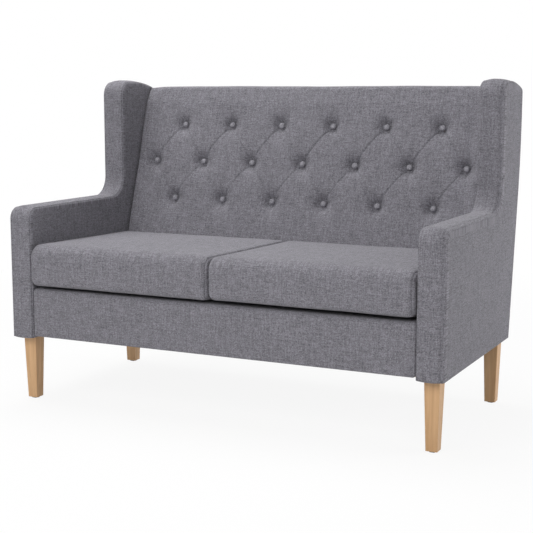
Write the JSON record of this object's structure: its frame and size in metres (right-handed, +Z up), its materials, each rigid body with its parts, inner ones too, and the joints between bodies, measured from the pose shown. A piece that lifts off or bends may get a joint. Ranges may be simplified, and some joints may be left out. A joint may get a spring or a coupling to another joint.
{
  "type": "two-seater sofa",
  "caption": "Compact grey fabric loveseat with thin winged sides, a button-tufted raked back, loose seat cushions and tapered wooden legs.",
  "frame": {"origin": "on the floor under the middle of the sofa's box", "axes": "+X to the right of someone facing the sofa, +Y from its front to its back, +Z up"},
  "size_m": [1.21, 0.664, 0.862],
  "materials": {
    "grey_fabric": "heathered plain weave",
    "leg_wood": "clear satin lacquer",
    "frame_timber": "sawn softwood",
    "plywood": "unfinished sheet",
    "foam": "open-cell foam",
    "webbing": "elastic webbing",
    "hessian": "coarse jute weave",
    "black_lining": "non-woven cloth",
    "lining_board": "pressed fibreboard",
    "zinc_steel": "zinc plated",
    "zip": "nylon coil on woven tape",
    "black_plastic": "moulded"
  },
  "bodies": {
    "frame": {"arm_bolt_washers": "zinc_steel", "arm_bolts": "zinc_steel", "arm_tee_nuts": "zinc_steel", "back_foam": "foam", "back_hessian": "hessian", "back_lining_board": "lining_board", "back_lower_rail": "frame_timber", "back_screws": "zinc_steel", "back_top_rail": "frame_timber", "back_uprights": "frame_timber", "back_webbing": "webbing", "centre_bearer": "frame_timber", "deck_cloth": "black_lining", "dust_cover": "black_lining", "front_left_leg": "leg_wood", "front_rail_cover": "grey_fabric", "front_rail_padding": "foam", "front_right_leg": "leg_wood", "front_seat_rail": "frame_timber", "inside_back_cover": "grey_fabric", "left_arm_band": "grey_fabric", "left_arm_battens": "frame_timber", "left_arm_inner_cover": "grey_fabric", "left_arm_inner_panel": "plywood", "left_arm_outer_cover": "grey_fabric", "left_arm_outer_panel": "plywood", "left_arm_padding": "foam", "left_back_stile": "frame_timber", "left_seat_rail": "frame_timber", "leg_glides": "black_plastic", "leg_hanger_bolts": "zinc_steel", "leg_inserts": "zinc_steel", "outside_back_cover": "grey_fabric", "rear_left_leg": "leg_wood", "rear_right_leg": "leg_wood", "rear_seat_rail": "frame_timber", "right_arm_band": "grey_fabric", "right_arm_battens": "frame_timber", "right_arm_inner_cover": "grey_fabric", "right_arm_inner_panel": "plywood", "right_arm_outer_cover": "grey_fabric", "right_arm_outer_panel": "plywood", "right_arm_padding": "foam", "right_back_stile": "frame_timber", "right_seat_rail": "frame_timber", "seat_corner_blocks": "frame_timber", "seat_webbing_cross": "webbing", "seat_webbing_long": "webbing", "tuft_buttons": "grey_fabric", "tuft_twines": "hessian", "tuft_wads": "hessian"},
    "left_cushion": {"left_cushion_cover": "grey_fabric", "left_cushion_foam": "foam", "left_cushion_zip": "zip"},
    "right_cushion": {"right_cushion_cover": "grey_fabric", "right_cushion_foam": "foam", "right_cushion_zip": "zip"},
    "left_slider": {"left_zip_slider": "zinc_steel"},
    "right_slider": {"right_zip_slider": "zinc_steel"}
  },
  "joints": [
    {"name": "left_cushion_lift", "type": "slide", "parent": "frame", "child": "left_cushion", "axis": [0, 0, 1], "range_m": [0, 0.6]},
    {"name": "left_zip_slide", "type": "slide", "parent": "left_cushion", "child": "left_slider", "axis": [1, 0, 0], "range_m": [0, 0.373]},
    {"name": "right_cushion_lift", "type": "slide", "parent": "frame", "child": "right_cushion", "axis": [0, 0, 1], "range_m": [0, 0.6]},
    {"name": "right_zip_slide", "type": "slide", "parent": "right_cushion", "child": "right_slider", "axis": [1, 0, 0], "range_m": [0, 0.373]}
  ]
}
